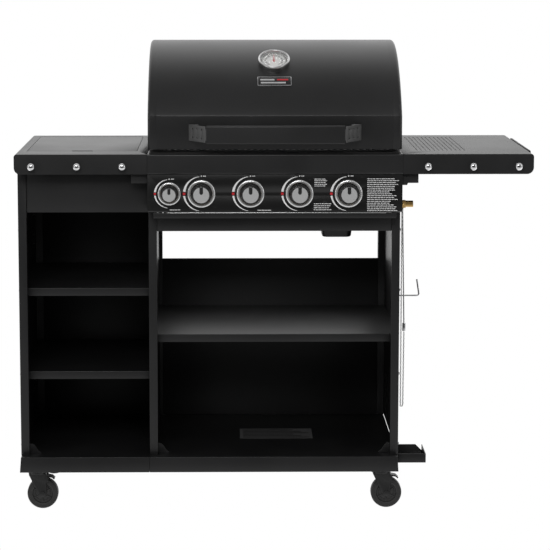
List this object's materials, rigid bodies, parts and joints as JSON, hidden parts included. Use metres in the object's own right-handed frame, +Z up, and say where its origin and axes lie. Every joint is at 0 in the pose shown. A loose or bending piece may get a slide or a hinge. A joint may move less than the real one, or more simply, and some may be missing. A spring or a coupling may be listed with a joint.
{
  "type": "gas barbecue grill",
  "caption": "Free-standing gas barbecue grill with a barrel lid, open storage cabinet, side burner, side shelf and casters.",
  "frame": {"origin": "on the floor under the middle of the cooking box, at the centre of the whole object's footprint", "axes": "+X to the cook's right, +Y to the back, +Z up; the controls and the lid handle face -Y"},
  "size_m": [1.243, 0.554, 1.148],
  "materials": {
    "powder_black": "satin powder coat",
    "lid_black": "satin heat-resistant paint",
    "enamel_black": "matt enamel",
    "gloss_black": "gloss enamel",
    "handle_steel": "satin grey paint",
    "bright_chrome": "polished",
    "wire_chrome": "plated wire",
    "gauge_steel": "brushed",
    "needle_red": "satin",
    "valve_metal": "cast",
    "inlet_brass": "turned",
    "burner_steel": "mill",
    "grate_iron": "enamelled",
    "tray_steel": "galvanised",
    "cup_black": "satin",
    "knob_plastic": "metallic paint",
    "caster_steel": "satin",
    "wheel_rubber": "matt",
    "brake_plastic": "moulded",
    "grip_rubber": "matt"
  },
  "bodies": {
    "frame": {"base_trays": "powder_black", "side_panel_left": "powder_black", "divider_panel": "powder_black", "side_panel_right": "powder_black", "back_panels": "powder_black", "cabinet_shelves": "powder_black", "left_fascia": "powder_black", "front_cross_rail": "powder_black", "firebox": "enamel_black", "front_rail": "powder_black", "control_panel": "gloss_black", "knob_bezels": "bright_chrome", "gas_manifold": "valve_metal", "gas_inlet": "inlet_brass", "burners": "burner_steel", "heat_tents": "burner_steel", "cooking_grates": "grate_iron", "warming_rack": "wire_chrome", "side_shelf_left": "powder_black", "side_shelf_right": "powder_black", "end_grip": "grip_rubber", "side_burner": "grate_iron", "pan_support": "grate_iron", "tool_pegs": "bright_chrome", "shelf_brackets": "powder_black", "tank_bracket": "powder_black", "tank_hook": "wire_chrome", "match_holder": "wire_chrome", "match_chain": "wire_chrome", "caster_plates": "caster_steel", "hinge_pins": "wire_chrome"},
    "lid": {"lid_shell": "lid_black", "lid_ends": "lid_black", "handle_bar": "powder_black", "handle_brackets": "handle_steel", "thermometer": "gauge_steel"},
    "gauge_needle": {"needle": "needle_red"},
    "burner_cover": {"side_burner_cover": "powder_black"},
    "drip_tray": {"grease_tray": "tray_steel", "grease_cup": "cup_black"},
    "stem_1": {"valve_stem_1": "inlet_brass"},
    "knob_1": {"knob_1": "knob_plastic"},
    "stem_2": {"valve_stem_2": "inlet_brass"},
    "knob_2": {"knob_2": "knob_plastic"},
    "stem_3": {"valve_stem_3": "inlet_brass"},
    "knob_3": {"knob_3": "knob_plastic"},
    "stem_4": {"valve_stem_4": "inlet_brass"},
    "knob_4": {"knob_4": "knob_plastic"},
    "stem_5": {"valve_stem_5": "inlet_brass"},
    "knob_5": {"knob_5": "knob_plastic"},
    "fork_1": {"caster_fork_1": "caster_steel"},
    "wheel_1": {"caster_wheel_1": "wheel_rubber"},
    "brake_1": {"caster_brake_1": "brake_plastic"},
    "fork_2": {"caster_fork_2": "caster_steel"},
    "wheel_2": {"caster_wheel_2": "wheel_rubber"},
    "brake_2": {"caster_brake_2": "brake_plastic"},
    "fork_3": {"caster_fork_3": "caster_steel"},
    "wheel_3": {"caster_wheel_3": "wheel_rubber"},
    "fork_4": {"caster_fork_4": "caster_steel"},
    "wheel_4": {"caster_wheel_4": "wheel_rubber"}
  },
  "joints": [
    {"name": "lid_hinge", "type": "hinge", "parent": "frame", "child": "lid", "pos_m": [0, 0.218, 0.915], "axis": [-1, 0, 0], "range_deg": [0, 88]},
    {"name": "needle_turn", "type": "hinge", "parent": "lid", "child": "gauge_needle", "pos_m": [0, -0.10151, 1.10644], "axis": [0, -0.515, 0.8572], "range_deg": [-130, 130]},
    {"name": "cover_hinge", "type": "hinge", "parent": "frame", "child": "burner_cover", "pos_m": [-0.4635, 0.2065, 0.885], "axis": [-1, 0, 0], "range_deg": [0, 95]},
    {"name": "tray_slide", "type": "slide", "parent": "frame", "child": "drip_tray", "axis": [0, 1, 0], "range_m": [0, 0.3]},
    {"name": "knob_turn_1", "type": "hinge", "parent": "frame", "child": "stem_1", "pos_m": [-0.252, -0.23, 0.796], "axis": [0, -1, 0], "range_deg": [0, 150]},
    {"name": "knob_push_1", "type": "slide", "parent": "stem_1", "child": "knob_1", "axis": [0, 1, 0], "range_m": [0, 0.004], "stiffness_N_per_m": 400},
    {"name": "knob_turn_2", "type": "hinge", "parent": "frame", "child": "stem_2", "pos_m": [-0.1755, -0.23, 0.796], "axis": [0, -1, 0], "range_deg": [0, 150]},
    {"name": "knob_push_2", "type": "slide", "parent": "stem_2", "child": "knob_2", "axis": [0, 1, 0], "range_m": [0, 0.004], "stiffness_N_per_m": 400},
    {"name": "knob_turn_3", "type": "hinge", "parent": "frame", "child": "stem_3", "pos_m": [-0.0585, -0.23, 0.796], "axis": [0, -1, 0], "range_deg": [0, 150]},
    {"name": "knob_push_3", "type": "slide", "parent": "stem_3", "child": "knob_3", "axis": [0, 1, 0], "range_m": [0, 0.004], "stiffness_N_per_m": 400},
    {"name": "knob_turn_4", "type": "hinge", "parent": "frame", "child": "stem_4", "pos_m": [0.0585, -0.23, 0.796], "axis": [0, -1, 0], "range_deg": [0, 150]},
    {"name": "knob_push_4", "type": "slide", "parent": "stem_4", "child": "knob_4", "axis": [0, 1, 0], "range_m": [0, 0.004], "stiffness_N_per_m": 400},
    {"name": "knob_turn_5", "type": "hinge", "parent": "frame", "child": "stem_5", "pos_m": [0.1755, -0.23, 0.796], "axis": [0, -1, 0], "range_deg": [0, 150]},
    {"name": "knob_push_5", "type": "slide", "parent": "stem_5", "child": "knob_5", "axis": [0, 1, 0], "range_m": [0, 0.004], "stiffness_N_per_m": 400},
    {"name": "caster_swivel_1", "type": "hinge", "parent": "frame", "child": "fork_1", "pos_m": [-0.584, -0.119, 0.092], "axis": [0, 0, 1], "continuous": true},
    {"name": "wheel_spin_1", "type": "hinge", "parent": "fork_1", "child": "wheel_1", "pos_m": [-0.571, -0.119, 0.038], "axis": [0, 1, 0], "continuous": true},
    {"name": "brake_press_1", "type": "hinge", "parent": "fork_1", "child": "brake_1", "pos_m": [-0.561, -0.119, 0.0795], "axis": [0, 1, 0], "range_deg": [0, 15]},
    {"name": "caster_swivel_2", "type": "hinge", "parent": "frame", "child": "fork_2", "pos_m": [0.266, -0.119, 0.092], "axis": [0, 0, 1], "continuous": true},
    {"name": "wheel_spin_2", "type": "hinge", "parent": "fork_2", "child": "wheel_2", "pos_m": [0.279, -0.119, 0.038], "axis": [0, 1, 0], "continuous": true},
    {"name": "brake_press_2", "type": "hinge", "parent": "fork_2", "child": "brake_2", "pos_m": [0.289, -0.119, 0.0795], "axis": [0, 1, 0], "range_deg": [0, 15]},
    {"name": "caster_swivel_3", "type": "hinge", "parent": "frame", "child": "fork_3", "pos_m": [-0.584, 0.206, 0.092], "axis": [0, 0, 1], "continuous": true},
    {"name": "wheel_spin_3", "type": "hinge", "parent": "fork_3", "child": "wheel_3", "pos_m": [-0.571, 0.206, 0.038], "axis": [0, 1, 0], "continuous": true},
    {"name": "caster_swivel_4", "type": "hinge", "parent": "frame", "child": "fork_4", "pos_m": [0.266, 0.206, 0.092], "axis": [0, 0, 1], "continuous": true},
    {"name": "wheel_spin_4", "type": "hinge", "parent": "fork_4", "child": "wheel_4", "pos_m": [0.279, 0.206, 0.038], "axis": [0, 1, 0], "continuous": true}
  ]
}
